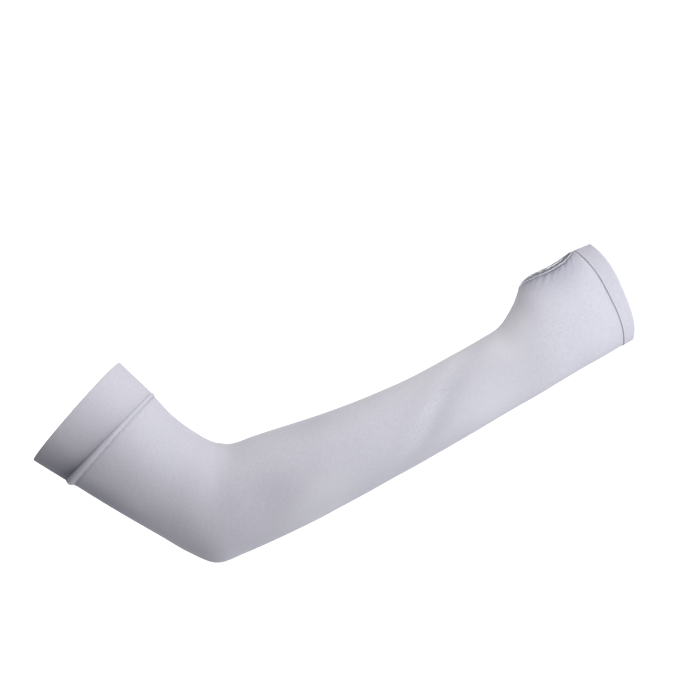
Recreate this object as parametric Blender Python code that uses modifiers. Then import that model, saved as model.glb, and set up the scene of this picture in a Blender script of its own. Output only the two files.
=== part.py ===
"""A sun protection arm sleeve with a thumb hole, in the shape that it takes on a bent left arm.

The sleeve is a hollow knitted tube in five pieces: the doubled cuff at the upper arm, the roll
where the cuff is linked on, the long tube with its thumb hole, the doubled band at the knuckles
and the bound edge of the thumb hole. All five lie on one surface, the middle of the cloth. It is
a smooth loft through the SECTIONS table, whose lengths are shares of the named sizes.

Metres. +X runs to the hand, +Z is up, and the palm faces -Y. The origin is the elbow's centre.
"""

import math
from collections import namedtuple

import bmesh
import bpy
import numpy as np
from mathutils import Vector

# The arm that fills the sleeve: three legs that meet at the elbow and at the wrist.
UPPER_LENGTH = 0.124
UPPER_WIDTH = 0.090
UPPER_DEPTH = 0.086
UPPER_RISE = math.radians(33)
UPPER_YAW = math.radians(3.5)
ELBOW_WIDTH = 0.087
ELBOW_DEPTH = 0.075
FOREARM_LENGTH = 0.222
FOREARM_WIDTH = 0.070
FOREARM_DEPTH = 0.073
FOREARM_RISE = math.radians(25.5)
HAND_LENGTH = 0.101
HAND_WIDTH = 0.074
HAND_DEPTH = 0.032
HAND_RISE = math.radians(36)

# The cloth and its pieces.
CLOTH_WALL = 0.0010
CUFF_WALL = 0.0018
CUFF_WIDTH = 0.031
BAND_WALL = 0.0016
BAND_WIDTH = 0.010
PIECE_GAP = 0.0003

# The roll of cloth at the cuff's seam, which is thin on the inner side and full on the outer.
ROLL_WIDTH_INNER = 0.0032
ROLL_WIDTH_OUTER = 0.0070
ROLL_RISE_INNER = 0.0012
ROLL_RISE_OUTER = 0.0018

# The thumb hole, pointed towards the wrist and blunt towards the band.
HOLE_LENGTH = 0.044
HOLE_WIDTH = 0.0245
HOLE_STRIP = 0.0013
HOLE_POINT = 0.3
BINDING_RADIUS = 0.0009
BINDING_GAP = 0.0004
BINDING_TIP_INSET = 0.0019

# How deep the soft folds of the worn sleeve are.
FOLD_DEPTH = 0.0012

# How finely each piece is made.
AROUND = 36
TUBE_ROWS = 44
HOLE_ROWS = 12
STRIP_ROWS = 2
CUFF_ROWS = 6
BAND_ROWS = 3
BINDING_POINTS = 44
ROLL_DOME_POINTS = 5

COLLECTION = "arm_sleeve"

# A section of the arm. along is a share of the leg's length, or of the elbow's width, and depth of
# its depth. top is the half width towards the thumb and the inner elbow, and bottom the half width
# away from it. bow carries the middle forward. These three are shares of the leg's width. tilt is
# how many degrees the section leans towards the hand, and square is its exponent.
Section = namedtuple("Section", "leg along top bottom tilt bow depth square")
SECTIONS = (
    Section("upper", 1.00, 0.506, 0.522, 8.0, 0.00, 1.000, 2.05),
    Section("upper", 0.73, 0.434, 0.514, 9.0, 0.00, 0.970, 2.05),
    Section("upper", 0.52, 0.374, 0.500, 1.3, 0.00, 0.935, 2.05),
    Section("upper", 0.27, 0.370, 0.490, -12.5, 0.00, 0.890, 2.05),
    Section("elbow", -0.17, 0.528, 0.420, 9.0, 0.00, 1.000, 2.10),
    Section("elbow", 0.00, 0.493, 0.496, 2.5, 0.00, 1.000, 2.10),
    Section("elbow", 0.18, 0.506, 0.412, -5.0, 0.00, 0.995, 2.10),
    Section("forearm", 0.15, 0.490, 0.598, 12.6, 0.00, 1.000, 2.10),
    Section("forearm", 0.27, 0.442, 0.580, 3.0, 0.00, 1.000, 2.05),
    Section("forearm", 0.38, 0.397, 0.560, 1.6, 0.00, 0.965, 2.05),
    Section("forearm", 0.49, 0.361, 0.540, 0.6, 0.00, 0.900, 2.05),
    Section("forearm", 0.63, 0.336, 0.509, 0.0, 0.00, 0.790, 2.05),
    Section("forearm", 0.74, 0.331, 0.480, -0.4, 0.00, 0.690, 2.10),
    Section("forearm", 0.87, 0.354, 0.442, -0.6, 0.00, 0.600, 2.20),
    Section("forearm", 1.00, 0.385, 0.401, 0.0, 0.00, 0.565, 2.25),
    Section("hand", 0.19, 0.354, 0.404, 6.0, 0.00, 1.320, 2.30),
    Section("hand", 0.36, 0.449, 0.420, 4.3, 0.01, 1.390, 2.30),
    Section("hand", 0.53, 0.590, 0.441, 2.0, 0.03, 1.340, 2.30),
    Section("hand", 0.72, 0.598, 0.468, 3.4, 0.06, 1.200, 2.40),
    Section("hand", 0.90, 0.532, 0.489, 8.6, 0.085, 1.050, 2.50),
    Section("hand", 1.00, 0.499, 0.507, 11.6, 0.092, 1.000, 2.50),
)

# A soft fold. at is a share of the sleeve's length from the mouth, and around an angle from the
# inner side, positive over the palm's side. reach and breadth are shares of the sleeve's length,
# slant turns the fold away from the sleeve's own direction, and rise is a share of FOLD_DEPTH.
Fold = namedtuple("Fold", "at around reach breadth slant rise")
FOLDS = (
    Fold(0.255, 0, 0.070, 0.016, 90, -0.9),
    Fold(0.300, 8, 0.060, 0.014, 84, -0.7),
    Fold(0.278, 4, 0.060, 0.011, 88, 0.5),
    Fold(0.655, 92, 0.090, 0.018, -32, 0.6),
    Fold(0.712, 88, 0.095, 0.020, -32, -1.0),
    Fold(0.800, 38, 0.060, 0.016, 30, -0.8),
    Fold(0.700, 262, 0.080, 0.020, 32, -0.8),
    Fold(0.420, 300, 0.060, 0.022, -30, 0.6),
)


def leg_axes(rise, yaw=0.0):
    """A leg's direction towards the hand, the direction to its top side and that to the palm's side."""
    forward = Vector((math.cos(rise) * math.cos(yaw), -math.cos(rise) * math.sin(yaw), math.sin(rise)))
    side = Vector((-math.sin(yaw), -math.cos(yaw), 0))
    return forward, side.cross(forward).normalized(), side


def legs():
    """Each leg as its start, its axes, the length that along is a share of, its width and depth."""
    centre = Vector((0, 0, 0))
    forearm_axes = leg_axes(FOREARM_RISE)
    wrist = forearm_axes[0] * FOREARM_LENGTH
    return {
        "upper": (centre, leg_axes(-UPPER_RISE, UPPER_YAW), -UPPER_LENGTH, UPPER_WIDTH, UPPER_DEPTH),
        "elbow": (centre, leg_axes(0), ELBOW_WIDTH, ELBOW_WIDTH, ELBOW_DEPTH),
        "forearm": (centre, forearm_axes, FOREARM_LENGTH, FOREARM_WIDTH, FOREARM_DEPTH),
        "hand": (wrist, leg_axes(HAND_RISE), HAND_LENGTH, HAND_WIDTH, HAND_DEPTH),
    }


def section_values():
    """Each section's top end, bottom end and half depth, with its bow and its exponent."""
    frames = legs()
    rows = []
    for row in SECTIONS:
        start, (forward, top, side), length, width, depth = frames[row.leg]
        tilt = math.radians(row.tilt)
        up = top * math.cos(tilt) + forward * math.sin(tilt)
        middle = start + forward * (row.along * length)
        top_end = middle + up * (row.top * width)
        bottom_end = middle - up * (row.bottom * width)
        half_depth = side * (row.depth * depth / 2)
        rows.append([*top_end, *bottom_end, *half_depth, row.bow * width, row.square])
    return np.array(rows)


class ArmSurface:
    """The middle of the sleeve's cloth. A place on it is a distance from the mouth and an angle."""

    def __init__(self):
        self.values = section_values()
        middles = (self.values[:, 0:3] + self.values[:, 3:6]) / 2
        steps = np.linalg.norm(np.diff(middles, axis=0), axis=1)
        self.knots = np.concatenate([[0], np.cumsum(steps)])
        self.length = float(self.knots[-1])
        self.slopes = np.gradient(self.values, self.knots, axis=0)
        self.sections = {}

    def section(self, along):
        """The section there, on the smooth cubic curve that passes through every row of the table."""
        if along not in self.sections:
            i = int(np.clip(np.searchsorted(self.knots, along) - 1, 0, len(self.knots) - 2))
            step = self.knots[i + 1] - self.knots[i]
            t = (along - self.knots[i]) / step
            start = (1 + 2 * t) * (1 - t) ** 2 * self.values[i] + t * (1 - t) ** 2 * step * self.slopes[i]
            end = t**2 * (3 - 2 * t) * self.values[i + 1] + t**2 * (t - 1) * step * self.slopes[i + 1]
            row = start + end
            top_end, bottom_end, side = Vector(row[0:3]), Vector(row[3:6]), Vector(row[6:9])
            half = (top_end - bottom_end) / 2
            bow = half.cross(side).normalized() * row[9]
            self.sections[along] = ((top_end + bottom_end) / 2, half, side, bow, float(row[10]))
        return self.sections[along]

    def bare(self, along, angle):
        """The point before the folds. Angle 0 is the top side, and a quarter turn the palm's side."""
        middle, half, side, bow, square = self.section(along)
        across = math.copysign(abs(math.cos(angle)) ** (2 / square), math.cos(angle))
        aside = math.copysign(abs(math.sin(angle)) ** (2 / square), math.sin(angle))
        return middle + half * across + side * aside + bow * (1 - abs(across) ** 3)

    def bare_normal(self, along, angle):
        step, turn = 0.0005, 0.01
        ahead = self.bare(along + step, angle) - self.bare(along - step, angle)
        aside = self.bare(along, angle + turn) - self.bare(along, angle - turn)
        return aside.cross(ahead).normalized()

    def fold_height(self, along, angle):
        """How far the soft folds lift the cloth there."""
        girth = self.section(along)[1].length
        height = 0
        for fold in FOLDS:
            ahead = along - fold.at * self.length
            turned = (angle - math.radians(fold.around) + math.pi) % (2 * math.pi) - math.pi
            aside = turned * girth
            slant = math.radians(fold.slant)
            lengthwise = ahead * math.cos(slant) + aside * math.sin(slant)
            crosswise = aside * math.cos(slant) - ahead * math.sin(slant)
            reach, breadth = fold.reach * self.length, fold.breadth * self.length
            height += fold.rise * math.exp(-((lengthwise / reach) ** 2) - (crosswise / breadth) ** 2)
        return height * FOLD_DEPTH

    def place(self, along, angle, lift=0.0):
        """The point of the cloth there, or the point that stands off it by lift."""
        height = lift + self.fold_height(along, angle)
        return self.bare(along, angle) + self.bare_normal(along, angle) * height

    def angle_at_breadth(self, along, breadth):
        """The angle from the top side at which the section is that far to the side."""
        middle, half, side, bow, square = self.section(along)
        return math.asin(min(breadth / side.length, 1) ** (square / 2))


def hole_outline(turn, start, length, width):
    """A drop-shaped hole: the distance along the sleeve and the half breadth, for a turn from 0 to pi."""
    turns = np.linspace(0, math.pi, 181)
    fullest = np.max(np.sin(turns) * np.sin(turns / 2) ** HOLE_POINT)
    breadth = math.sin(turn) * math.sin(turn / 2) ** HOLE_POINT / fullest
    return start + length * (1 - math.cos(turn)) / 2, width / 2 * breadth


def hole_start(surface):
    return surface.length - BAND_WIDTH - PIECE_GAP - HOLE_STRIP - HOLE_LENGTH


def outer_share(angle):
    """0 on the inner side of the arm and 1 on its outer side."""
    return (1 - math.cos(angle)) / 2


def roll_width(angle):
    return ROLL_WIDTH_INNER + (ROLL_WIDTH_OUTER - ROLL_WIDTH_INNER) * outer_share(angle) ** 1.5


def roll_rise(angle):
    return ROLL_RISE_INNER + (ROLL_RISE_OUTER - ROLL_RISE_INNER) * outer_share(angle)


def tube_start():
    return CUFF_WIDTH + PIECE_GAP + ROLL_WIDTH_INNER + PIECE_GAP


def cuff_end(angle):
    """Where the cuff meets the roll, which is nearer to the mouth where the roll is full."""
    return tube_start() - 2 * PIECE_GAP - roll_width(angle)


def material(name, colour, roughness):
    made = bpy.data.materials.new(name)
    made.use_nodes = True
    shader = made.node_tree.nodes["Principled BSDF"]
    shader.inputs["Base Color"].default_value = (*colour, 1)
    shader.inputs["Roughness"].default_value = roughness
    shader.inputs["Metallic"].default_value = 0
    return made


def add_object(name, mesh, cloth, collection, parent):
    mesh.shade_smooth()
    mesh.set_sharp_from_angle(angle=math.radians(50))
    piece = bpy.data.objects.new(name, mesh)
    piece.data.materials.append(cloth)
    piece.parent = parent
    collection.objects.link(piece)
    return piece


def add_wall(piece, thickness):
    wall = piece.modifiers.new("cloth wall", "SOLIDIFY")
    wall.thickness = thickness
    wall.offset = 0
    wall.use_even_offset = True
    wall.use_quality_normals = True


def finished_mesh(build, name):
    bmesh.ops.recalc_face_normals(build, faces=build.faces)
    mesh = bpy.data.meshes.new(name)
    build.to_mesh(mesh)
    build.free()
    return mesh


def ring_mesh(name, rings, cyclic_rows=False):
    """Faces between rings of points that all have the same count, each ring closed on itself."""
    build = bmesh.new()
    made = [[build.verts.new(point) for point in ring] for ring in rings]
    pairs = list(zip(made, made[1:]))
    if cyclic_rows:
        pairs.append((made[-1], made[0]))
    for lower, upper in pairs:
        for i in range(len(lower)):
            j = (i + 1) % len(lower)
            build.faces.new((lower[i], lower[j], upper[j], upper[i]))
    return finished_mesh(build, name)


def around_angles():
    return [2 * math.pi * i / AROUND for i in range(AROUND)]


def cuff_mesh(surface, name):
    rings = []
    for k in range(CUFF_ROWS + 1):
        rings.append([surface.place(cuff_end(angle) * k / CUFF_ROWS, angle) for angle in around_angles()])
    return ring_mesh(name, rings)


def band_mesh(surface, name):
    rings = []
    for k in range(BAND_ROWS + 1):
        along = surface.length - BAND_WIDTH * (1 - k / BAND_ROWS)
        rings.append([surface.place(along, angle) for angle in around_angles()])
    return ring_mesh(name, rings)


def roll_mesh(surface, name):
    """The rolled seam: a flat foot of the cloth's thickness under a low dome, all round the arm."""
    sections = []
    far = tube_start() - PIECE_GAP
    for angle in around_angles():
        width, rise = roll_width(angle), roll_rise(angle)
        section = [surface.place(far, angle, -CLOTH_WALL / 2)]
        section.append(surface.place(far - width, angle, -CLOTH_WALL / 2))
        for k in range(ROLL_DOME_POINTS + 1):
            share = k / ROLL_DOME_POINTS
            dome = CLOTH_WALL / 2 + rise * math.sin(math.pi * share)
            section.append(surface.place(far - width * (1 - share), angle, dome))
        sections.append(section)
    return ring_mesh(name, sections, cyclic_rows=True)


def spread_angle(angle, edge):
    """The columns of cloth pushed aside from the thumb hole, most of all those beside it."""
    if angle <= math.pi:
        return angle + edge * (1 - angle / math.pi) ** 2
    return angle - edge * (angle / math.pi - 1) ** 2


def tube_mesh(surface, name):
    """The long tube as a grid of columns and rows, slit along its top column for the thumb."""
    build = bmesh.new()
    slit_start = hole_start(surface)
    slit_end = slit_start + HOLE_LENGTH
    tube_end = surface.length - BAND_WIDTH - PIECE_GAP

    rows = []
    for k in range(TUBE_ROWS):
        rows.append((tube_start() + (slit_start - tube_start()) * k / TUBE_ROWS, 0))
    for k in range(HOLE_ROWS + 1):
        along, breadth = hole_outline(math.pi * k / HOLE_ROWS, slit_start, HOLE_LENGTH, HOLE_WIDTH)
        edge = 0 if k in (0, HOLE_ROWS) else surface.angle_at_breadth(along, breadth)
        rows.append((along, edge))
    for k in range(1, STRIP_ROWS + 1):
        rows.append((slit_end + (tube_end - slit_end) * k / STRIP_ROWS, 0))

    made = []
    for along, edge in rows:
        angles = [spread_angle(angle, edge) for angle in around_angles()]
        if edge > 0:
            angles.append(spread_angle(2 * math.pi, edge))
        ring = [build.verts.new(surface.place(along, angle)) for angle in angles]
        if edge == 0:
            ring.append(ring[0])
        made.append(ring)
    for lower, upper in zip(made, made[1:]):
        for i in range(AROUND):
            build.faces.new((lower[i], lower[i + 1], upper[i + 1], upper[i]))
    return finished_mesh(build, name)


def binding_mesh(surface, name):
    """The bound edge: a round bead just inside the thumb hole's rim."""
    inset = BINDING_RADIUS + BINDING_GAP
    start = hole_start(surface) + BINDING_TIP_INSET
    length = HOLE_LENGTH - BINDING_TIP_INSET - inset
    width = HOLE_WIDTH - 2 * inset
    curve = bpy.data.curves.new(name, "CURVE")
    curve.dimensions = "3D"
    curve.bevel_depth = BINDING_RADIUS
    curve.bevel_resolution = 2
    spline = curve.splines.new("POLY")
    spline.points.add(BINDING_POINTS - 1)
    spline.use_cyclic_u = True
    for i in range(BINDING_POINTS):
        turn = 2 * math.pi * (i + 0.5) / BINDING_POINTS
        along, breadth = hole_outline(min(turn, 2 * math.pi - turn), start, length, width)
        edge = surface.angle_at_breadth(along, breadth)
        angle = edge if turn <= math.pi else 2 * math.pi - edge
        spline.points[i].co = (*surface.place(along, angle), 1)
    guide = bpy.data.objects.new("binding_guide", curve)
    bpy.context.scene.collection.objects.link(guide)
    bpy.context.view_layer.update()
    mesh = bpy.data.meshes.new_from_object(guide.evaluated_get(bpy.context.evaluated_depsgraph_get()))
    mesh.name = name
    bpy.data.objects.remove(guide)
    return mesh


def main():
    for old in list(bpy.data.objects):
        bpy.data.objects.remove(old)
    collection = bpy.data.collections.new(COLLECTION)
    bpy.context.scene.collection.children.link(collection)
    origin = bpy.data.objects.new("elbow_centre", None)
    collection.objects.link(origin)

    knit = material("cooling_knit", (0.58, 0.57, 0.65), 0.75)
    doubled = material("doubled_knit", (0.60, 0.59, 0.67), 0.72)
    thread = material("edge_thread", (0.66, 0.66, 0.72), 0.6)

    surface = ArmSurface()

    cuff = cuff_mesh(surface, "upper_cuff")
    add_wall(add_object("upper_cuff", cuff, doubled, collection, origin), CUFF_WALL)

    add_object("cuff_roll", roll_mesh(surface, "cuff_roll"), doubled, collection, origin)

    tube = tube_mesh(surface, "sleeve_tube")
    add_wall(add_object("sleeve_tube", tube, knit, collection, origin), CLOTH_WALL)

    band = band_mesh(surface, "hand_band")
    add_wall(add_object("hand_band", band, doubled, collection, origin), BAND_WALL)

    binding = binding_mesh(surface, "thumb_binding")
    add_object("thumb_binding", binding, thread, collection, origin)


main()
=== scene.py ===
# %% [markdown]
# # A sun protection arm sleeve with a thumb hole
#
# The real sleeve is one thin tube of nylon and spandex yarn from a small circular knitting machine.
# The machine folds the start of the tube into a doubled cuff, leaves a slot for the thumb and ends
# with a narrow doubled band. The sleeve has no shape of its own: it takes the shape of the arm.
#
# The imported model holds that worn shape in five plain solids. This lesson dresses them. It lays
# finer cloth over the same surface, gives each piece its knit, and adds the seams and stitches.

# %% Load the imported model
import math
from collections import namedtuple

import bmesh
import bpy
import numpy as np
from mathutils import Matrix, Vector


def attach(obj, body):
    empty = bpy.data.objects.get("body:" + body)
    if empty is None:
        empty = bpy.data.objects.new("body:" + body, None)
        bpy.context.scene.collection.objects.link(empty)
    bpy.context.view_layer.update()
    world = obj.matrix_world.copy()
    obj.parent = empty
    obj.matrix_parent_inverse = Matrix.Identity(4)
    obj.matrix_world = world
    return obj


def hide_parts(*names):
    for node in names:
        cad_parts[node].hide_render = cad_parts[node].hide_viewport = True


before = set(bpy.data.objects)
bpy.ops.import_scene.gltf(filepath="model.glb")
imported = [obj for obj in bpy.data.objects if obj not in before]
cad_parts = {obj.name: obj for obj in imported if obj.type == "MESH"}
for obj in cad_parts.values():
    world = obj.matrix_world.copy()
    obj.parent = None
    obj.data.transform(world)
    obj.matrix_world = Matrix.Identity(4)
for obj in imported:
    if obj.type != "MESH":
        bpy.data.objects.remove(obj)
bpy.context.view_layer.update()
print("nodes:", ", ".join(sorted(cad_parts)))

# %% [markdown]
# ## The arm that fills the sleeve
#
# A worn sleeve could be draped on an arm by a cloth simulation, but the cloth is stretched tight,
# so its shape is the arm's. A loft through measured sections gives it exactly. Each row of the
# table is one section of the arm, as shares of the named sizes, in metres. The rows and sizes are
# those of the solids, so the dressed sleeve stays on them.

# %% Name the arm's sizes
UPPER_LENGTH = 0.124
UPPER_WIDTH = 0.090
UPPER_DEPTH = 0.086
UPPER_RISE = math.radians(33)
UPPER_YAW = math.radians(3.5)
ELBOW_WIDTH = 0.087
ELBOW_DEPTH = 0.075
FOREARM_LENGTH = 0.222
FOREARM_WIDTH = 0.070
FOREARM_DEPTH = 0.073
FOREARM_RISE = math.radians(25.5)
HAND_LENGTH = 0.101
HAND_WIDTH = 0.074
HAND_DEPTH = 0.032
HAND_RISE = math.radians(36)

# A section's half widths, its bow forwards and its depth are shares of its leg's sizes. tilt is in
# degrees, and square is the exponent of its rounded outline.
Section = namedtuple("Section", "leg along top bottom tilt bow depth square")
SECTIONS = (
    Section("upper", 1.00, 0.506, 0.522, 8.0, 0.00, 1.000, 2.05),
    Section("upper", 0.73, 0.434, 0.514, 9.0, 0.00, 0.970, 2.05),
    Section("upper", 0.52, 0.374, 0.500, 1.3, 0.00, 0.935, 2.05),
    Section("upper", 0.27, 0.370, 0.490, -12.5, 0.00, 0.890, 2.05),
    Section("elbow", -0.17, 0.528, 0.420, 9.0, 0.00, 1.000, 2.10),
    Section("elbow", 0.00, 0.493, 0.496, 2.5, 0.00, 1.000, 2.10),
    Section("elbow", 0.18, 0.506, 0.412, -5.0, 0.00, 0.995, 2.10),
    Section("forearm", 0.15, 0.490, 0.598, 12.6, 0.00, 1.000, 2.10),
    Section("forearm", 0.27, 0.442, 0.580, 3.0, 0.00, 1.000, 2.05),
    Section("forearm", 0.38, 0.397, 0.560, 1.6, 0.00, 0.965, 2.05),
    Section("forearm", 0.49, 0.361, 0.540, 0.6, 0.00, 0.900, 2.05),
    Section("forearm", 0.63, 0.336, 0.509, 0.0, 0.00, 0.790, 2.05),
    Section("forearm", 0.74, 0.331, 0.480, -0.4, 0.00, 0.690, 2.10),
    Section("forearm", 0.87, 0.354, 0.442, -0.6, 0.00, 0.600, 2.20),
    Section("forearm", 1.00, 0.385, 0.401, 0.0, 0.00, 0.565, 2.25),
    Section("hand", 0.19, 0.354, 0.404, 6.0, 0.00, 1.320, 2.30),
    Section("hand", 0.36, 0.449, 0.420, 4.3, 0.01, 1.390, 2.30),
    Section("hand", 0.53, 0.590, 0.441, 2.0, 0.03, 1.340, 2.30),
    Section("hand", 0.72, 0.598, 0.468, 3.4, 0.06, 1.200, 2.40),
    Section("hand", 0.90, 0.532, 0.489, 8.6, 0.085, 1.050, 2.50),
    Section("hand", 1.00, 0.499, 0.507, 11.6, 0.092, 1.000, 2.50),
)
print("sections:", len(SECTIONS))


# %% Place each section
def leg_axes(rise, yaw=0.0):
    """A leg's direction towards the hand, the direction to its thumb side and that to the palm's side."""
    forward = Vector((math.cos(rise) * math.cos(yaw), -math.cos(rise) * math.sin(yaw), math.sin(rise)))
    side = Vector((-math.sin(yaw), -math.cos(yaw), 0))
    return forward, side.cross(forward).normalized(), side


def section_values():
    """Each section's top end, bottom end and half depth, with its bow and its exponent."""
    centre = Vector((0, 0, 0))
    forearm = leg_axes(FOREARM_RISE)
    wrist = forearm[0] * FOREARM_LENGTH
    legs = {
        "upper": (centre, leg_axes(-UPPER_RISE, UPPER_YAW), -UPPER_LENGTH, UPPER_WIDTH, UPPER_DEPTH),
        "elbow": (centre, leg_axes(0), ELBOW_WIDTH, ELBOW_WIDTH, ELBOW_DEPTH),
        "forearm": (centre, forearm, FOREARM_LENGTH, FOREARM_WIDTH, FOREARM_DEPTH),
        "hand": (wrist, leg_axes(HAND_RISE), HAND_LENGTH, HAND_WIDTH, HAND_DEPTH),
    }
    rows = []
    for row in SECTIONS:
        start, (forward, top, side), length, width, depth = legs[row.leg]
        tilt = math.radians(row.tilt)
        up = top * math.cos(tilt) + forward * math.sin(tilt)
        middle = start + forward * (row.along * length)
        top_end = middle + up * (row.top * width)
        bottom_end = middle - up * (row.bottom * width)
        half_depth = side * (row.depth * depth / 2)
        rows.append([*top_end, *bottom_end, *half_depth, row.bow * width, row.square])
    return np.array(rows)


VALUES = section_values()
MIDDLES = (VALUES[:, 0:3] + VALUES[:, 3:6]) / 2
KNOTS = np.concatenate([[0], np.cumsum(np.linalg.norm(np.diff(MIDDLES, axis=0), axis=1))])
SLOPES = np.gradient(VALUES, KNOTS, axis=0)
LENGTH = float(KNOTS[-1])
print("sleeve length along the arm, mm:", round(LENGTH * 1000, 1))


# %% Find any place on the cloth
def unit(vectors):
    return vectors / np.linalg.norm(vectors, axis=-1, keepdims=True)


def sections_at(along):
    """The sections at those distances from the mouth, on the smooth curve through the rows."""
    i = np.clip(np.searchsorted(KNOTS, along) - 1, 0, len(KNOTS) - 2)
    step = (KNOTS[i + 1] - KNOTS[i])[..., None]
    t = (along - KNOTS[i])[..., None] / step
    start = (1 + 2 * t) * (1 - t) ** 2 * VALUES[i] + t * (1 - t) ** 2 * step * SLOPES[i]
    end = t**2 * (3 - 2 * t) * VALUES[i + 1] + t**2 * (t - 1) * step * SLOPES[i + 1]
    return start + end


def bare_cloth(along, angle):
    """Points of the tight cloth. Angle 0 is the thumb's side, and a quarter turn the palm's."""
    rows = sections_at(along)
    half, side = (rows[..., 0:3] - rows[..., 3:6]) / 2, rows[..., 6:9]
    bow, square = rows[..., 9:10], rows[..., 10]
    across = (np.sign(np.cos(angle)) * np.abs(np.cos(angle)) ** (2 / square))[..., None]
    aside = (np.sign(np.sin(angle)) * np.abs(np.sin(angle)) ** (2 / square))[..., None]
    forward = unit(np.cross(half, side)) * bow * (1 - np.abs(across) ** 3)
    return (rows[..., 0:3] + rows[..., 3:6]) / 2 + half * across + side * aside + forward


def cloth_normal(along, angle):
    ahead = bare_cloth(along + 0.0005, angle) - bare_cloth(along - 0.0005, angle)
    aside = bare_cloth(along, angle + 0.01) - bare_cloth(along, angle - 0.01)
    return unit(np.cross(aside, ahead))


# %% [markdown]
# ## Folds
#
# Tight knit hardly folds, but it keeps a few broad, shallow waves: at the inner elbow, slanting
# round the forearm where the arm turns, and beside the thumb. Displacing the surface by a sum of
# long soft bumps keeps them as smooth as they are in stretched cloth.

# %% Lay the soft folds
FOLD_DEPTH = 0.0012

# at, reach and breadth are shares of the sleeve's length, around and slant are in degrees.
Fold = namedtuple("Fold", "at around reach breadth slant rise")
FOLDS = (
    Fold(0.255, 0, 0.070, 0.016, 90, -0.3),
    Fold(0.300, 8, 0.060, 0.014, 84, -0.3),
    Fold(0.278, 4, 0.060, 0.011, 88, 0.2),
    Fold(0.655, 66, 0.080, 0.018, -36, 0.7),
    Fold(0.642, 104, 0.105, 0.019, -36, -1.1),
    Fold(0.800, 38, 0.060, 0.020, 30, -0.2),
    Fold(0.700, 262, 0.080, 0.020, 32, -0.8),
    Fold(0.420, 300, 0.060, 0.022, -30, 0.6),
)


def turn_from(centre, angle):
    """The angle counted from a centre line, the short way round."""
    return (angle - centre + math.pi) % (2 * math.pi) - math.pi


def fold_height(along, angle):
    rows = sections_at(along)
    half_height = np.linalg.norm(rows[..., 0:3] - rows[..., 3:6], axis=-1) / 2
    height = np.zeros(np.broadcast(along, angle).shape)
    for fold in FOLDS:
        ahead = along - fold.at * LENGTH
        aside = turn_from(math.radians(fold.around), angle) * half_height
        slant = math.radians(fold.slant)
        lengthwise = ahead * math.cos(slant) + aside * math.sin(slant)
        crosswise = aside * math.cos(slant) - ahead * math.sin(slant)
        far = (lengthwise / (fold.reach * LENGTH)) ** 2 + (crosswise / (fold.breadth * LENGTH)) ** 2
        height += fold.rise * np.exp(-far)
    return height * FOLD_DEPTH


def cloth(along, angle, lift=0.0):
    """Points of the worn cloth, or points that stand off its middle by lift."""
    along, angle = np.broadcast_arrays(np.asarray(along, float), np.asarray(angle, float))
    height = lift + fold_height(along, angle)
    return bare_cloth(along, angle) + cloth_normal(along, angle) * height[..., None]


print("folds:", len(FOLDS), "deepest, mm:", FOLD_DEPTH * 1000)


# %% [markdown]
# ## From a grid of points to a mesh
#
# Every knitted piece is a grid: columns run round the arm and rows run along it. The helper makes
# the faces, writes each corner's place in the knit to a UV map, and then merges the points that
# meet where the grid closes. The UV map counts stitches, so the knit stretches with the cloth.

# %% Make a mesh from a grid
WALES = 192
COURSE = 0.00095


def grid_mesh(name, points, stitches, flip=False, **marks):
    """Rows run towards the hand and columns from the thumb's side to the palm's. flip turns the faces round.

    marks are arrays with one value for each point, which the material reads as attributes.
    """
    rows, columns = points.shape[:2]
    index = np.arange(rows * columns).reshape(rows, columns)
    corners = [index[:-1, :-1], index[:-1, 1:], index[1:, 1:], index[1:, :-1]]
    faces = np.stack(corners[::-1] if flip else corners, axis=-1).reshape(-1, 4)
    mesh = bpy.data.meshes.new(name)
    mesh.from_pydata(points.reshape(-1, 3).tolist(), [], faces.tolist())
    knit = mesh.uv_layers.new(name="knit")
    knit.uv.foreach_set("vector", stitches.reshape(-1, 2)[faces.reshape(-1)].astype(np.float32).ravel())
    for mark, values in marks.items():
        spread = np.broadcast_to(values, points.shape[:2]).astype(np.float32)
        mesh.attributes.new(mark, "FLOAT", "POINT").data.foreach_set("value", spread.ravel())
    build = bmesh.new()
    build.from_mesh(mesh)
    bmesh.ops.remove_doubles(build, verts=build.verts, dist=1e-6)
    build.to_mesh(mesh)
    build.free()
    mesh.shade_smooth()
    return mesh


def add_piece(name, mesh, material, slot, *nodes):
    """Put a finished mesh into the scene, on the one body, for the CAD nodes that it replaces."""
    piece = bpy.data.objects.new(name, mesh)
    bpy.context.scene.collection.objects.link(piece)
    mesh.materials.clear()
    mesh.materials.append(material)
    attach(piece, "root")
    if nodes:
        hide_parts(*nodes)
    print(f"{name}: {len(mesh.polygons)} faces")
    return piece


# %% [markdown]
# ## The knit
#
# The yarn is nylon with a little spandex, in a fine single jersey: every stitch is a small V, and
# the Vs stand in columns that are called wales. A wale here is about 1 mm wide, hardly more than the
# picture's smallest detail, so the eye sees a soft, even lavender grey with a faint grain. Only where
# the cloth is drawn slantwise across the light do lines show, and they take every second wale.
#
# A bump from the V pattern gives the stitches, an attribute called rib_show lets the lines out, and
# a random tone for each stitch gives the grain. Sheen gives the soft rim of light on fine fibres.
# The ribs get painted shade in their valleys and painted light on their crests. A second attribute
# holds painted shade: it darkens the cloth beside the seams and the thumb hole, in a few hollows and
# on the arm's inner and low sides. A third one, pleat_show, lets small pleats out beside the bound
# edge of the thumb hole, with painted shade in their troughs and painted light on their crests. The
# last one holds painted light: it makes the cloth paler on a few soft spots of the forearm, the wrist
# and the elbow.


# %% Turn picture colours into light
def linear(hex_colour):
    """An sRGB hex value as the linear colour that shaders use."""
    parts = [int(hex_colour[i : i + 2], 16) / 255 for i in (1, 3, 5)]
    return tuple(c / 12.92 if c <= 0.04045 else ((c + 0.055) / 1.055) ** 2.4 for c in parts) + (1.0,)


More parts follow.
